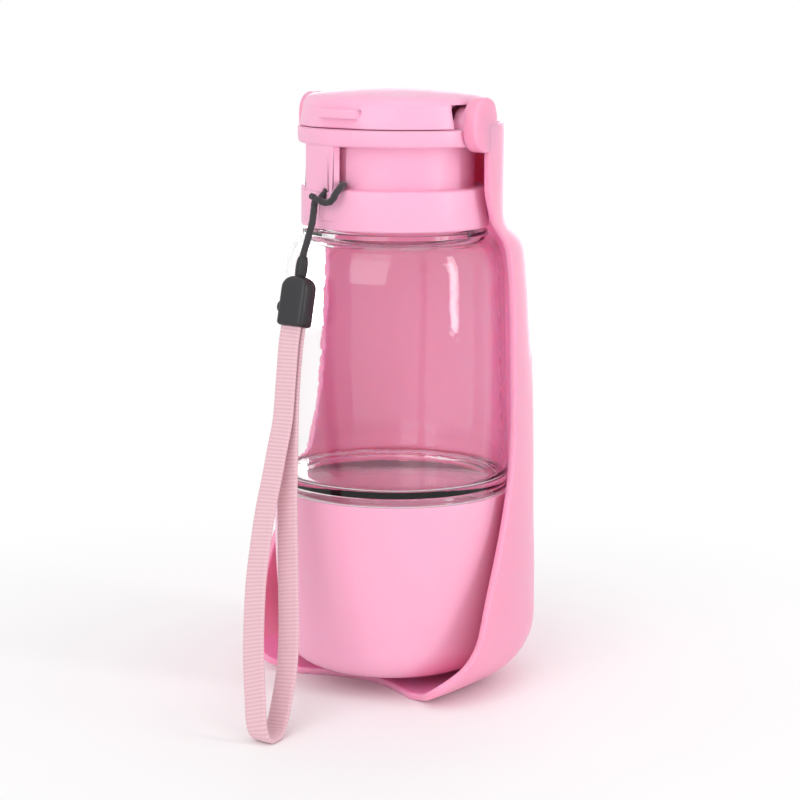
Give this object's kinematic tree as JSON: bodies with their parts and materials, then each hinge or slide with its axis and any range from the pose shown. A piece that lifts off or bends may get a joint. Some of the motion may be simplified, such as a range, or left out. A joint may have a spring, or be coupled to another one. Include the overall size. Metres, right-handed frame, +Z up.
{
  "type": "dog travel water bottle",
  "caption": "Clear travel water bottle with a flip-lid screw cap, a food cup screwed on below and a trough that folds up round both.",
  "frame": {"origin": "on the bottle's axis, in the flat underside of the folded trough's floor, which the part stands on", "axes": "+Z up along the bottle, X along the trough's pivots, -Y towards the front with the thumb tab and the lanyard, +Y towards the trough's closed back"},
  "size_m": [0.0976, 0.1418, 0.2036],
  "materials": {
    "clear": "clear, polished",
    "pink": "glossy",
    "pink_cup": "glossy",
    "pink_trough": "fine satin, slightly translucent",
    "silicone": "matt, translucent",
    "steel": "drawn wire",
    "cord": "braided",
    "black_rubber": "matt",
    "black_plastic": "satin",
    "webbing": "ribbed woven tape"
  },
  "bodies": {
    "bottle": {"water_bottle": "clear"},
    "mouth_seal": {"mouth_gasket": "silicone"},
    "cap": {"cap_body": "pink", "lid_hinge_pin": "steel", "trough_pin_left": "pink", "trough_pin_right": "pink", "cord_hitch": "cord", "lanyard_cord": "cord", "cord_sleeve": "black_rubber", "lanyard_connector": "black_plastic", "connector_knob": "black_plastic", "wrist_strap": "webbing"},
    "lid": {"lid": "pink", "lid_seal": "silicone"},
    "trough": {"trough": "pink_trough"},
    "cup_seal": {"cup_gasket": "silicone"},
    "cup": {"food_cup": "pink_cup"}
  },
  "joints": [
    {"name": "cap_rise", "type": "slide", "parent": "bottle", "child": "mouth_seal", "axis": [0, 0, 1], "range_m": [0, 0.002]},
    {"name": "cap_turn", "type": "hinge", "parent": "mouth_seal", "child": "cap", "pos_m": [0, 0, 0.165], "axis": [0, 0, 1], "range_deg": [0, 180]},
    {"name": "lid_flip", "type": "hinge", "parent": "cap", "child": "lid", "pos_m": [0, 0.0305, 0.1982], "axis": [-1, 0, 0], "range_deg": [0, 130]},
    {"name": "trough_fold", "type": "hinge", "parent": "cap", "child": "trough", "pos_m": [0, 0, 0.1922], "axis": [1, 0, 0], "range_deg": [0, 180]},
    {"name": "cup_drop", "type": "slide", "parent": "bottle", "child": "cup_seal", "axis": [0, 0, -1], "range_m": [0, 0.001]},
    {"name": "cup_turn", "type": "hinge", "parent": "cup_seal", "child": "cup", "pos_m": [0, 0, 0.06], "axis": [0, 0, -1], "range_deg": [0, 120]}
  ],
  "couplings": [
    {"joint": "cap_rise", "follows": "cap_turn", "m_per_rad": 0.00063662},
    {"joint": "cup_drop", "follows": "cup_turn", "m_per_rad": 0.00047746}
  ]
}
